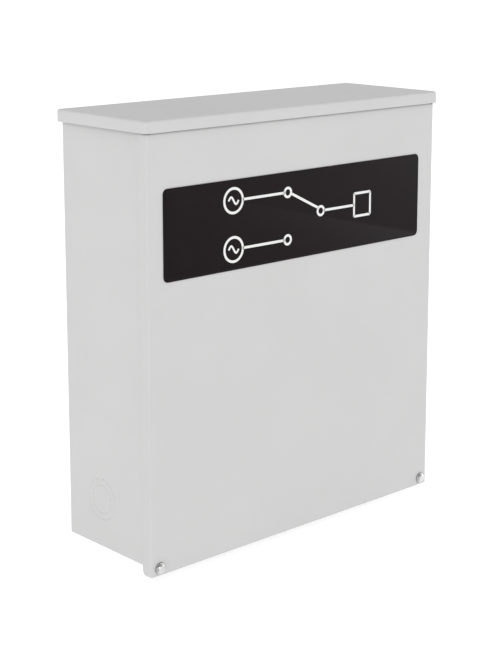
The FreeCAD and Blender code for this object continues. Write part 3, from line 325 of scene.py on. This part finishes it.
class Shape:
    """A mesh being built in millimetres, then placed on a body in metres."""

    def __init__(self):
        self.mesh = bmesh.new()

    def box(self, x, y, z, edge=0.0):
        """A block over the ranges x, y and z, with its edges rounded by edge."""
        made = bmesh.ops.create_cube(self.mesh, size=1.0)["verts"]
        for vert in made:
            vert.co = Vector(span[0] if part < 0 else span[1] for span, part in zip((x, y, z), vert.co))
        if edge:
            edges = list({line for vert in made for line in vert.link_edges})
            bmesh.ops.bevel(self.mesh, geom=edges, offset=edge, segments=2, affect="EDGES",
                            profile=0.5, clamp_overlap=True)

    def prism(self, outline, low, high, axis="y"):
        """A flat outline swept along an axis. The outline's pairs are the other two coordinates in order."""
        slot = "xyz".index(axis)

        def corner(pair, depth):
            place = list(pair)
            place.insert(slot, depth)
            return self.mesh.verts.new(place)

        ends = [[corner(pair, depth) for pair in outline] for depth in (low, high)]
        self.mesh.faces.new(ends[0])
        self.mesh.faces.new(list(reversed(ends[1])))
        count = len(outline)
        for i in range(count):
            j = (i + 1) % count
            self.mesh.faces.new((ends[0][j], ends[0][i], ends[1][i], ends[1][j]))

    def circle(self, middle, side, rise, radius, steps):
        """New vertices on a circle, from side towards rise."""
        ring = []
        for i in range(steps):
            angle = 2 * math.pi * i / steps
            spoke = side * math.cos(angle) + rise * math.sin(angle)
            ring.append(self.mesh.verts.new(middle + spoke * radius))
        return ring

    def lathe(self, profile, start, along, closed=False, steps=28):
        """Turns (distance, radius) pairs about the line from start along a direction."""
        along = Vector(along).normalized()
        side = along.orthogonal().normalized()
        rise = along.cross(side)
        rings = []
        for distance, radius in profile:
            middle = Vector(start) + along * distance
            if radius > 0:
                rings.append(self.circle(middle, side, rise, radius, steps))
            else:
                rings.append([self.mesh.verts.new(middle)])
        if closed:
            rings.append(rings[0])
        for lower, upper in zip(rings, rings[1:]):
            for i in range(steps):
                j = (i + 1) % steps
                corners = [lower[i % len(lower)], lower[j % len(lower)]]
                corners += [upper[j % len(upper)], upper[i % len(upper)]]
                corners = list(dict.fromkeys(corners))
                if len(corners) > 2:
                    self.mesh.faces.new(corners)
        if not closed:
            for ring in (rings[0], rings[-1]):
                if len(ring) > 1:
                    self.mesh.faces.new(ring)

    def tube(self, path, radius, sides=10):
        """A round bar along a path, its ring carried along without twist."""
        points = [Vector(point) for point in path]
        heading = (points[1] - points[0]).normalized()
        side = heading.orthogonal().normalized()
        rings = []
        for i, point in enumerate(points):
            ahead = points[min(i + 1, len(points) - 1)] - points[max(i - 1, 0)]
            turn = heading.rotation_difference(ahead.normalized())
            heading = ahead.normalized()
            side = (turn @ side).normalized()
            rings.append(self.circle(point, side, heading.cross(side), radius, sides))
        for lower, upper in zip(rings, rings[1:]):
            for i in range(sides):
                j = (i + 1) % sides
                self.mesh.faces.new((lower[i], lower[j], upper[j], upper[i]))
        self.mesh.faces.new(rings[0])
        self.mesh.faces.new(rings[-1])

    def ribbon(self, path, width, low, high):
        """A printed line: a mitred strip along a path in X and Z, from Y low to Y high."""
        points = [Vector(pair) for pair in path]
        lefts, rights = [], []
        for i, point in enumerate(points):
            before = (point - points[i - 1]).normalized() if i else None
            after = (points[i + 1] - point).normalized() if i < len(points) - 1 else None
            run = ((before or after) + (after or before)).normalized()
            square = Vector((-run.y, run.x))
            reach = width / 2 / max(SHARPEST_MITRE, run.dot(before or after))
            lefts.append(tuple(point + square * reach))
            rights.append(tuple(point - square * reach))
        self.prism(lefts + rights[::-1], low, high)

    def ring(self, centre, radius, width, low, high, steps=36):
        """A printed circle: an annulus in X and Z, from Y low to Y high."""
        inner, outer = radius - width / 2, radius + width / 2
        profile = [(0, inner), (0, outer), (high - low, outer), (high - low, inner)]
        self.lathe(profile, (centre[0], low, centre[1]), (0, 1, 0), closed=True, steps=steps)

    def place(self, name, material, body, slot=None, stands_for=(), sharp=38):
        """Turns the shape into an object in metres, on its body, with edges sharp from that many degrees."""
        bmesh.ops.recalc_face_normals(self.mesh, faces=self.mesh.faces)
        bmesh.ops.scale(self.mesh, vec=(MM, MM, MM), verts=self.mesh.verts)
        mesh = bpy.data.meshes.new(name)
        self.mesh.to_mesh(mesh)
        self.mesh.free()
        mesh.shade_smooth()
        mesh.set_sharp_from_angle(angle=math.radians(sharp))
        mesh.materials.append(MATERIALS[material])
        piece = bpy.data.objects.new(name, mesh)
        bpy.context.scene.collection.objects.link(piece)
        if body:
            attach(piece, body)
        if stands_for:
            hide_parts(*stands_for)
        return piece


def rounded_outline(left, right, low, high, radius, steps=6):
    """A rectangle in X and Z with rounded corners."""
    corners = ((right - radius, high - radius, 0), (left + radius, high - radius, 90),
               (left + radius, low + radius, 180), (right - radius, low + radius, 270))
    outline = []
    for x, z, start in corners:
        for i in range(steps + 1):
            angle = math.radians(start + 90 * i / steps)
            outline.append((x + radius * math.cos(angle), z + radius * math.sin(angle)))
    return outline


def side_span(low, high, flip):
    """A range of heights on the utility side, or its mirror image about the shaft."""
    return (2 * SHAFT_Z - high, 2 * SHAFT_Z - low) if flip else (low, high)


# ---- what stands for the CAD pieces
def wave(centre, half_width, height, steps=14):
    """One cycle of an alternating current sign."""
    x, z = centre
    path = []
    for i in range(steps + 1):
        share = i / steps
        path.append((x + half_width * (2 * share - 1), z + height * math.sin(2 * math.pi * share)))
    return path


def switch_diagram(shape, origin, size, width, low, high):
    """A double-throw switch drawn as a one-line diagram, with two sources and one load."""
    row = 24
    source_x, source_radius = -90, 12
    contact_x, contact_radius = -17.5, 4.5
    pivot_x = 29
    blade = ((25.5, 3.4), (-12, 22))
    load_left, load_right, load_half = 78, 102, 12

    def at(x, z):
        return (origin[0] + size * x, origin[1] + size * z)

    for z in (row, -row):
        shape.ring(at(source_x, z), source_radius * size, width, low, high)
        shape.ribbon(wave(at(source_x, z), 6.5 * size, 3.6 * size), width * 0.8, low, high)
        shape.ribbon([at(source_x + source_radius, z), at(contact_x - contact_radius, z)], width, low, high)
        shape.ring(at(contact_x, z), contact_radius * size, width, low, high, steps=24)
    shape.ribbon([at(*end) for end in blade], width, low, high)
    shape.ring(at(pivot_x, 0), contact_radius * size, width, low, high, steps=24)
    shape.ribbon([at(pivot_x + contact_radius, 0), at(load_left, 0)], width, low, high)
    for x in (load_left, load_right):
        shape.ribbon([at(x, -load_half), at(x, load_half)], width, low, high)
    for z in (-load_half, load_half):
        shape.ribbon([at(load_left, z), at(load_right, z)], width, low, high)


def nameplate():
    left, right, low, high = -207, 201, 71.5, 173.5
    corner, edge, ink_height, ink_width = 5.5, 0.3, 0.12, 3.0
    back, front = -152.4, -153.2
    sunk = 0.05
    panel = Shape()
    panel.prism(rounded_outline(left, right, low, high, corner), front, back)
    rim = [line for line in panel.mesh.edges if all(vert.co.y < front + 0.01 for vert in line.verts)]
    bmesh.ops.bevel(panel.mesh, geom=rim, offset=edge, segments=2, affect="EDGES", profile=0.5)
    panel.place("nameplate_panel", "plate_black", "cover", "plate_black", ["nameplate"])
    ink = Shape()
    middle = ((left + right) / 2, (low + high) / 2)
    switch_diagram(ink, middle, 1.15, ink_width, front - ink_height, front + sunk)
    ink.place("nameplate_diagram", "ink_white", "cover")


def wiring_label():
    back, face = -150.9, -150.6
    ink_low, ink_high = -150.62, -150.55
    left, right = -88, 88
    top, middle, bottom = -37, -108, -163
    rows, first_row, row_pitch = 4, -119, 11
    dot_radius, line_start = 2.2, 6
    thin, thick = 0.8, 1.2
    paper = Shape()
    paper.prism(rounded_outline(-95, 95, -170, -30, 3), back, face)
    paper.place("wiring_label_paper", "label_paper", "cover", "label_paper", ["wiring_label"])
    ink = Shape()
    switch_diagram(ink, (0, -72), 0.7, 1.0, ink_low, ink_high)
    rules = [[(left, z), (right, z)] for z in (top, middle, bottom)]
    rules += [[(x, top), (x, bottom)] for x in (left, right)]
    for rule in rules:
        ink.ribbon(rule, thin, ink_low, ink_high)
    for row in range(rows):
        z = first_row - row_pitch * row
        for dot, end in ((-80, -8), (12, 70 - 9 * (row % 2))):
            ink.ring((dot, z), dot_radius, thin, ink_low, ink_high, steps=16)
            ink.ribbon([(dot + line_start, z), (end, z)], thick, ink_low, ink_high)
    ink.place("wiring_label_print", "ink_black", "cover")


def arc_chutes():
    half, cheek = 12, 1.5
    cheek_heights = (16, 62)
    cheek_depths = (-134, -92)
    front, back = -132, -115
    notch_half, notch_tip = 4.5, -124
    plate_count, first_plate, plate_pitch, plate_thickness = 6, 18, 5.5, 1.2
    for name, flip in SOURCES:
        cheeks, plates = Shape(), Shape()
        for x in POLES:
            for side in (-1, 1):
                inner = x + side * half
                widths = sorted((inner, inner + side * cheek))
                cheeks.box(widths, cheek_depths, side_span(*cheek_heights, flip), 0.35)
            outline = [(x - half, front), (x + half, front), (x + half, back), (x + notch_half, back),
                       (x, notch_tip), (x - notch_half, back), (x - half, back)]
            for i in range(plate_count):
                z = first_plate + plate_pitch * i
                plates.prism(outline, *side_span(z, z + plate_thickness, flip), "z")
        cheeks.place(name + "_chute_cheeks", "fibre", "case", "chute_steel", [name + "_arc_chutes"])
        plates.place(name + "_chute_plates", "chute_steel", "case", "chute_steel")


def coils():
    """Each coil stands on its lower end. A profile pairs the height above it with a radius."""
    x, y = 77.5, -82
    end_heights, boss_heights = (45, 95), (61, 71)
    bore, winding_core, turn_low, turn_high = 7.9, 14.6, 14.9, 15.4
    turns, first_turn, turn_pitch = 29, 3.0, 1.53
    flange, far_flange = 2.2, 47.8
    flange_bore, flange_rim, flange_radius, flange_round = 7.7, 16.1, 16.5, 0.4
    tape_low, tape_high, tape_inner, tape_outer = 20, 30, 15.2, 15.75
    for name, flip in SOURCES:
        start = (x, y, side_span(*end_heights, flip)[0])
        winding = Shape()
        profile = [(flange, bore), (flange, winding_core)]
        for turn in range(turns):
            middle = first_turn + turn_pitch * turn
            profile += [(middle, turn_low), (middle + 0.76, turn_high)]
        profile += [(far_flange, winding_core), (far_flange, bore)]
        winding.lathe(profile, start, (0, 0, 1), closed=True, steps=36)
        winding.place(name + "_coil_winding", "coil_wrap", "case", "coil_wrap", [name + "_coil"], sharp=60)
        bobbin = Shape()
        for foot in (0, far_flange):
            rim = [(foot, flange_bore), (foot, flange_rim), (foot + flange_round, flange_radius),
                   (foot + 1.8, flange_radius), (foot + flange, flange_rim), (foot + flange, flange_bore)]
            bobbin.lathe(rim, start, (0, 0, 1), closed=True, steps=36)
        bobbin.box((89, 98), (-87, -77), side_span(*boss_heights, flip), 0.5)
        bobbin.place(name + "_coil_bobbin", "moulded_black", "case", "moulded_black")
        wrap = Shape()
        tape = [(tape_low, tape_inner), (tape_low, tape_outer)]
        tape += [(tape_high, tape_outer), (tape_high, tape_inner)]
        wrap.lathe(tape, start, (0, 0, 1), closed=True, steps=36)
        wrap.place(name + "_coil_tape", "label_paper", "case")


def toggle_spring():
    """A tension spring from the crank pin to its post, hooked round the groove of each."""
    x, reach_of_crank, crank_angle, crank_rise, post_back = 90, 20, math.radians(30), 10, 20
    wire, coil_radius, hook_radius, clear = 0.45, 2.85, 2.7, 5.0
    bridge_along, bridge_rise = 3.6, 0.8
    turns, steps = 15, 14
    pin = Vector((x, SHAFT_Y - reach_of_crank * math.cos(crank_angle), SHAFT_Z + crank_rise))
    post = Vector((x, SHAFT_Y + post_back, SHAFT_Z))
    along = (post - pin).normalized()
    across = Vector((1, 0, 0))
    rise = across.cross(along)
    length = (post - pin).length

    def hook(centre, degrees):
        """Part of a circle about a pin."""
        angles = [math.radians(degree) for degree in degrees]
        return [centre + along * hook_radius * math.cos(angle) + rise * hook_radius * math.sin(angle)
                for angle in angles]

    path = hook(pin, range(60, 301, 20))
    path.append(pin + along * bridge_along - rise * bridge_rise)
    for i in range(turns * steps + 1):
        share = i / (turns * steps)
        angle = 2 * math.pi * i / steps
        reach = coil_radius * min(1.0, 6 * share + 0.15, 6 * (1 - share) + 0.15)
        centre = pin + along * (clear + (length - 2 * clear) * share)
        path.append(centre + (rise * math.cos(angle) + across * math.sin(angle)) * reach)
    path.append(post - along * bridge_along + rise * bridge_rise)
    path += hook(post, range(120, -121, -20))
    spring = Shape()
    spring.tube(path, wire, 7)
    piece = spring.place("toggle_spring_coil", "spring_steel", None, "spring_steel", ["toggle_spring"],
                         sharp=80)
    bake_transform(piece)


def handle_grip():
    """A ribbed sleeve. The profile pairs the height above its foot with a radius."""
    foot_place = (-190, -26, 14)
    ribs, first_rib, rib_pitch = 13, 4, 6.2
    rib_top, groove_start, groove_end = 3.6, 4.2, 5.6
    rib_radius, groove_radius = 11.0, 10.2
    grip = Shape()
    profile = [(0, 6.3), (0, 9.6), (1.2, 10.8)]
    for rib in range(ribs):
        foot = first_rib + rib_pitch * rib
        profile += [(foot, rib_radius), (foot + rib_top, rib_radius)]
        profile += [(foot + groove_start, groove_radius), (foot + groove_end, groove_radius)]
    profile += [(86, rib_radius), (88.2, groove_radius), (89.5, 8.2), (90, 5.0), (90, 0)]
    grip.lathe(profile, foot_place, (0, 0, 1), steps=32)
    grip.place("handle_grip_rubber", "grip_black", "hand_lever", "grip_black", ["handle_grip"], sharp=30)


def relay_shell(x, z, half, front, back):
    """A clear cap, open at the back and hollowed to a thin wall."""
    wall_thickness, corner = 1.2, 1.6
    cover = Shape()
    cover.box((x - half, x + half), (front, back), (z - half, z + half), corner)
    open_side = [face for face in cover.mesh.faces if face.calc_center_median().y > back - 0.01]
    bmesh.ops.delete(cover.mesh, geom=open_side, context="FACES")
    shell = cover.place("relay_clear_case", "relay_clear", "relay", "relay_case", ["control_relay"])
    wall = shell.modifiers.new("wall", "SOLIDIFY")
    wall.thickness = wall_thickness * MM
    wall.offset = -1


def relay_leaves(x, z):
    """The eight plug pins behind the base, and three pairs of contact leaves with their rivets."""
    pin_half_width, pin_half_height, pin_depths = 0.5, 2.5, (-34.5, -25)
    leaf_half_width, leaf_thickness, leaf_heights = 2.4, 0.5, (-1, 13)
    rivet_y, rivet_up = -53.8, 11
    pins = Shape()
    for dx in (-12, -4, 4, 12):
        for dz in (-9, 9):
            pins.box((x + dx - pin_half_width, x + dx + pin_half_width), pin_depths,
                     (z + dz - pin_half_height, z + dz + pin_half_height), 0.2)
    for dx in (-11, 0, 11):
        for y in (-52, -58):
            pins.box((x + dx - leaf_half_width, x + dx + leaf_half_width), (y - leaf_thickness, y),
                     (z + leaf_heights[0], z + leaf_heights[1]), 0.15)
        rivet = [(0, 1.7), (1.2, 1.7), (1.8, 1.1), (1.8, 0)]
        pins.lathe(rivet, (x + dx, rivet_y, z + rivet_up), (0, -1, 0), steps=14)
    pins.place("relay_leaves", "copper", "relay", "copper")


def control_relay():
    x, z, half = 189, 25, 17
    front, base_front, base_back = -84, -38, -34.3
    relay_shell(x, z, half, front, base_front)
    base = Shape()
    base.box((x - half, x + half), (base_front, base_back), (z - half, z + half), 0.6)
    base.place("relay_base", "moulded_black", "relay", "moulded_black")
    relay_leaves(x, z)
    works = Shape()
    bore, core, flange, thickness, far_flange = 2, 7.6, 9, 1.5, 20
    profile = [(0, bore), (0, flange), (thickness, flange), (thickness, core), (far_flange, core),
               (far_flange, flange), (far_flange + thickness, flange), (far_flange + thickness, bore)]
    works.lathe(profile, (x, -42, z - 5), (0, -1, 0), closed=True, steps=26)
    works.place("relay_coil", "coil_wrap", "relay", "coil_wrap")
    yoke = Shape()
    yoke_half = 8
    yoke.box((x - yoke_half, x + yoke_half), (-66, -64), (z - 15, z + 8), 0.3)
    yoke.box((x - yoke_half, x + yoke_half), (-66, -39), (z - 16, z - 14.5), 0.3)
    yoke.place("relay_yoke", "shaft_steel", "relay", "shaft_steel")


# The routes are a given list, the same as in the part's source.
WIRE_COLOURS = ("wire_insulation", "wire_insulation") + 3 * ("wire_red", "wire_white")
WIRE_ROUTES = (
    ((98, -82, 66), (150, -82, 66), (150, -26, 66), (181, -26, 66), (181, -26, 50)),
    ((98, -82, -46), (151, -82, -46), (151, -26, -46), (166, -26, -46)),
    ((-112, -62, 40), (-143, -62, 40), (-143, -62, 148), (-143, -20, 148), (153, -20, 148),
     (153, -20, 34), (169, -20, 34)),
    ((-112, -62, -20), (-143, -62, -20), (-143, -62, -128), (-143, -20, -128), (173, -20, -128)),
    ((181, -25, 0), (181, -25, -25)),
    ((197, -25, 0), (197, -25, -25)),
    ((181, -22, -85), (181, -22, -100)),
    ((197, -22, -85), (197, -22, -100)),
)
WIRE_BEND = 9.0
WIRE_BEND_STEPS = 6
WIRE_STEP = 8
WIRE_RADIUS = 1.6
WIRE_WANDER = 0.5
UP, RIGHT = (0, 0, 1), (1, 0, 0)
WIRE_TIES = (
    ((-143, -62, 100), UP), ((-143, -62, -90), UP),
    ((-60, -20, 148), RIGHT), ((60, -20, 148), RIGHT),
    ((-60, -20, -128), RIGHT), ((90, -20, -128), RIGHT),
)


def wire_path(route):
    """The route with rounded corners and a slight wander, as stiff stranded wire lies."""
    points = [Vector(point) for point in route]
    path = [points[0]]
    for i in range(1, len(points) - 1):
        before, after = points[i] - points[i - 1], points[i + 1] - points[i]
        radius = min(WIRE_BEND, 0.45 * min(before.length, after.length))
        start = points[i] - before.normalized() * radius
        end = points[i] + after.normalized() * radius
        for k in range(WIRE_BEND_STEPS + 1):
            share = k / WIRE_BEND_STEPS
            path.append(start.lerp(points[i], share).lerp(points[i].lerp(end, share), share))
    path.append(points[-1])
    fine = [path[0]]
    for here, there in zip(path, path[1:]):
        count = max(1, int((there - here).length / WIRE_STEP))
        fine += [here.lerp(there, (k + 1) / count) for k in range(count)]
    for i in range(2, len(fine) - 2):
        sway = Vector((math.sin(i * 0.9), 0.6 * math.sin(i * 0.53 + 1), math.cos(i * 0.71)))
        fine[i] = fine[i] + sway * WIRE_WANDER
    return fine


def control_wires():
    """The wires, a boot on each end, and ties that hold the long runs."""
    boot = [(0, 1.8), (0, 2.3), (4.5, 2.3), (5.5, 1.8)]
    tie = [(-1.2, 1.9), (-1.2, 2.9), (1.2, 2.9), (1.2, 1.9)]
    for number, (route, finish) in enumerate(zip(WIRE_ROUTES, WIRE_COLOURS), 1):
        wire = Shape()
        wire.tube(wire_path(route), WIRE_RADIUS, 10)
        stands_for = ["control_wires"] if number == 1 else []
        wire.place("control_wire_%d" % number, finish, "case", "wire_insulation", stands_for, sharp=70)
    boots = Shape()
    for route in WIRE_ROUTES:
        for end, inward in ((route[0], route[1]), (route[-1], route[-2])):
            along = Vector(inward) - Vector(end)
            boots.lathe(boot, end, along, closed=True, steps=14)
    boots.place("wire_boots", "insulator_grey", "case", "insulator_grey")
    ties = Shape()
    for place, along in WIRE_TIES:
        ties.lathe(tie, place, along, closed=True, steps=18)
    ties.place("wire_ties", "moulded_black", "case", "moulded_black")


nameplate()
wiring_label()
arc_chutes()
coils()
toggle_spring()
handle_grip()
control_relay()
control_wires()


# ---- stage
def stage_material(name, base, glow):
    """A matt surface that also glows, for the white ground of the picture."""
    made = bpy.data.materials.new(name)
    made.use_nodes = True
    shader = made.node_tree.nodes["Principled BSDF"]
    shader.inputs["Base Color"].default_value = colour(base)
    shader.inputs["Roughness"].default_value = 0.9
    shader.inputs["Specular IOR Level"].default_value = 0.1
    shader.inputs["Emission Color"].default_value = (1, 1, 1, 1)
    shader.inputs["Emission Strength"].default_value = glow
    return made


def make_floor():
    mesh = bpy.data.meshes.new("floor")
    grid = bmesh.new()
    bmesh.ops.create_grid(grid, x_segments=8, y_segments=8, size=FLOOR_HALF)
    grid.to_mesh(mesh)
    grid.free()
    floor = bpy.data.objects.new("floor", mesh)
    bpy.context.scene.collection.objects.link(floor)
    floor.location = (0, 0, FLOOR_Z - FLOOR_GAP)
    mesh.materials.append(stage_material("floor_white", FLOOR_TONE, FLOOR_GLOW))


def make_world():
    """A white sky, brighter where it is seen than where it lights the part."""
    world = bpy.data.worlds.new("studio")
    bpy.context.scene.world = world
    world.use_nodes = True
    tree = world.node_tree
    sky = tree.nodes["Background"]
    sky.inputs["Color"].default_value = (1, 1, 1, 1)
    sky.inputs["Strength"].default_value = SKY_LIGHT
    seen = tree.nodes.new("ShaderNodeBackground")
    seen.inputs["Color"].default_value = (1, 1, 1, 1)
    seen.inputs["Strength"].default_value = SKY_SEEN
    path = tree.nodes.new("ShaderNodeLightPath")
    mix = tree.nodes.new("ShaderNodeMixShader")
    tree.links.new(path.outputs["Is Camera Ray"], mix.inputs["Fac"])
    tree.links.new(sky.outputs["Background"], mix.inputs[1])
    tree.links.new(seen.outputs["Background"], mix.inputs[2])
    tree.links.new(mix.outputs["Shader"], tree.nodes["World Output"].inputs["Surface"])


def area_light(name, place, size, power):
    data = bpy.data.lights.new(name, "AREA")
    data.shape = "RECTANGLE"
    data.size, data.size_y = size
    data.energy = power
    light = bpy.data.objects.new(name, data)
    bpy.context.scene.collection.objects.link(light)
    light.location = place
    light.rotation_euler = (Vector(LIGHT_TARGET) - Vector(place)).to_track_quat("-Z", "Y").to_euler()
    light.visible_camera = False


def make_camera():
    turn, pitch = math.radians(CAMERA_TURN), math.radians(CAMERA_PITCH)
    ahead = Vector((math.sin(turn), math.cos(turn), 0))
    right = Vector((math.cos(turn), -math.sin(turn), 0))
    up = Vector((0, 0, 1))
    data = bpy.data.cameras.new("camera")
    data.lens = LENS_MM
    data.sensor_width = SENSOR_MM
    data.shift_y = SHIFT_UP
    data.clip_start, data.clip_end = CLIP_NEAR, CLIP_FAR
    camera = bpy.data.objects.new("camera", data)
    bpy.context.scene.collection.objects.link(camera)
    camera.location = -ahead * CAMERA_BACK + right * CAMERA_SIDE + up * CAMERA_UP
    look = ahead * math.cos(pitch) + up * math.sin(pitch)
    camera.rotation_mode = "QUATERNION"
    camera.rotation_quaternion = look.to_track_quat("-Z", "Y")
    bpy.context.scene.camera = camera


make_floor()
make_world()
for light in LIGHTS:
    area_light(*light)
make_camera()
bpy.context.scene.view_settings.view_transform = "Standard"

# ---- edges of the CAD pieces, rounded by a width in millimetres
SHEET_PIECES = ("enclosure_body", "front_returns", "bottom_plate", "drip_cap", "front_cover")
MOULDED_PIECES = ("switch_base", "load_block", "relay_socket", "fuse_block", "fuse_pullout",
                  "terminal_strip", "neutral_base", "utility_limit_switch", "generator_limit_switch",
                  "handle_clips")
CUT_PIECES = ("cover_screws", "mechanism_plate", "control_plate", "left_side_frame", "right_side_frame",
              "utility_coil_frame", "generator_coil_frame", "utility_contacts", "generator_contacts",
              "fixed_tips", "load_bars", "moving_blades", "blade_tips", "crank_arm", "solenoid_armature",
              "utility_lugs", "generator_lugs", "load_lugs", "neutral_lugs", "neutral_bar", "ground_bar")
EDGE_WIDTHS = ((SHEET_PIECES, 0.3), (MOULDED_PIECES, 0.35), (CUT_PIECES, 0.2))
for pieces, width in EDGE_WIDTHS:
    for name in pieces:
        soften(NODES[name], width * MM)
